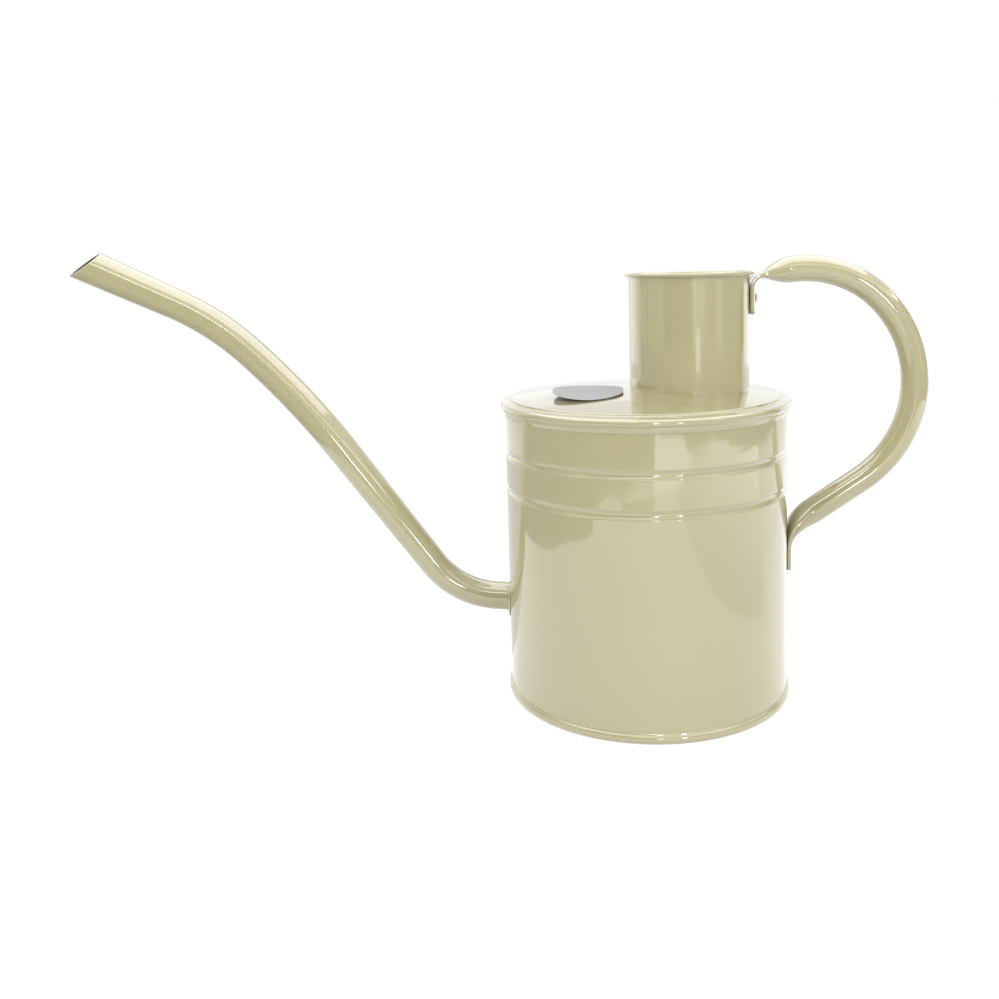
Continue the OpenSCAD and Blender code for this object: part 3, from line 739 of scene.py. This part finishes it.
# the table's sheen on the right, from 1 near the can to 2 at its edge
tree, light = shining("table_sheen", [(0.15, -0.42, 0.0002), (0.60, -0.42, 0.0002),
                                      (0.60, 0.03, 0.0002), (0.15, 0.0, 0.0002)], [(0, 1, 2, 3)], 1.0)
where = shader_node(tree, "TexCoord")
split = shader_node(tree, "SeparateXYZ")
ramp = shader_node(tree, "MapRange", **{"From Min": 0.15, "From Max": 0.55, "To Min": 1.0, "To Max": 2.0})
wire(tree,
     (where.outputs["Object"], split.inputs[0]),
     (split.outputs["X"], ramp.inputs["Value"]),
     (ramp.outputs["Result"], light.inputs["Strength"]))

# the dimmer table behind the can, from close to its foot outwards
behind = np.radians(np.linspace(150, 250, 40))
spread = np.c_[np.sin(behind), -np.cos(behind)]
shining("back_table", np.c_[np.r_[0.062 * spread, 0.5 * spread], np.full(2 * len(spread), 0.0004)],
        strip_faces(len(spread)), 0.8)


def around_wall(name, az, low, high, level, radius=1.6):
    """An upright shining wall bent round the can: az in degrees from -Y towards +X, low and high in
    metres. A point at az is (radius sin az, -radius cos az)."""
    a = np.radians(az)
    n = len(a)
    ring = np.c_[radius * np.sin(a), -radius * np.cos(a)]
    points = np.r_[np.c_[ring, np.broadcast_to(low, n)], np.c_[ring, np.broadcast_to(high, n)]]
    shining(name, points, strip_faces(n), level)


# the room's wall: its height at each az, and its tones and cornice from one az to the next
ROOM_AZ = np.linspace(-108, 116, 90)
room_top = np.interp(ROOM_AZ, [-108, -28, 5, 60, 116], [1.42, 1.42, 1.15, 0.90, 0.90])
ROOM_TONES = ((-108, -97, 0.5), (-97, -90, 0.1), (-90, -52, 0.6), (-52, 2, 0.15), (2, 24, 0.75),
              (24, 47, 0.4), (47, 60, 0.85), (60, 106, 0.5), (106, 116, 0.1))
for first, last, level in ROOM_TONES:
    part = np.linspace(first, last, 12)
    around_wall("room_%d" % (first + 200), part, -0.01, np.interp(part, ROOM_AZ, room_top), level)
for first, last, level in ((-108, -35, 3), (-35, 5, 9), (5, 116, 3)):
    part = np.linspace(first, last, 24)
    low = np.interp(part, ROOM_AZ, room_top)
    around_wall("cornice_%d" % (first + 200), part, low, low + 0.14, level)
around_wall("lamp_glass", np.linspace(8, 17, 4), 0.004, 0.078, 2.0, radius=1.0)
for middle in (6, 24):
    part = np.linspace(middle - 1.6, middle + 1.6, 3)
    around_wall("window_%d" % middle, part, 0.16, 0.36, 22, radius=1.55)
around_wall("back_band", np.linspace(125, 235, 30), 0.30, 0.70, 1.15, radius=1.85)
for middle in (-135, 135):
    part = np.linspace(middle - 15, middle + 15, 8)
    around_wall("back_side_%d" % (middle + 200), part, 0.0, 0.25, 1.5, radius=1.2)


def facing(d):
    """Axes of a thing whose -Z looks along d: right, up and back."""
    back = -d / np.linalg.norm(d)
    right = np.cross([0, 0, 1], back)
    right = right / np.linalg.norm(right) if np.linalg.norm(right) > 1e-6 else np.array([1.0, 0, 0])
    return right, np.cross(back, right), back


def placed(thing, axes, place):
    """The thing is put at its place, turned so that its axes are these three."""
    thing.matrix_world = Matrix([[*row, p] for row, p in zip(np.stack(axes, 1), place)]
                                + [[0, 0, 0, 1]])
    scene.collection.objects.link(thing)


def softbox(name, place, aim, width, height, power):
    """A rectangular soft box that faces its aim."""
    lamp = bpy.data.lights.new(name, "AREA")
    lamp.shape = "RECTANGLE"
    lamp.size = width
    lamp.size_y = height
    lamp.energy = power
    box = bpy.data.objects.new(name, lamp)
    box.visible_camera = box.visible_glossy = False
    placed(box, facing(np.array(aim, float) - np.array(place, float)), place)


softbox("box_left", (-0.95, -0.85, 0.6), (0, 0, 0.08), 0.7, 0.9, 10)
softbox("box_right", (0.95, -0.8, 0.6), (0, 0, 0.08), 0.6, 0.9, 10.4)
softbox("box_over", (0, 0.1, 1.2), (0, 0, 0), 1.0, 0.8, 4)

# the camera's angles, in radians: how far it looks down, turns and leans
PITCH, YAW, LEAN = 0.11898, -0.06387, -0.02621
CAMERA_AT = (-0.0200, -0.390926, 0.171730)
right = np.array([math.cos(YAW), -math.sin(YAW), 0])
ahead = np.array([math.sin(YAW) * math.cos(PITCH), math.cos(YAW) * math.cos(PITCH), -math.sin(PITCH)])
up = np.array([math.sin(YAW) * math.sin(PITCH), math.cos(YAW) * math.sin(PITCH), math.cos(PITCH)])
right, up = right * math.cos(LEAN) + up * math.sin(LEAN), up * math.cos(LEAN) - right * math.sin(LEAN)
camera = bpy.data.objects.new("camera", bpy.data.cameras.new("camera"))
placed(camera, (right, up, -ahead), CAMERA_AT)
camera.data.sensor_width = 36
camera.data.lens = 35.842
camera.data.shift_x = -0.03
camera.data.shift_y = -0.12157
camera.data.clip_start = 0.01
scene.camera = camera
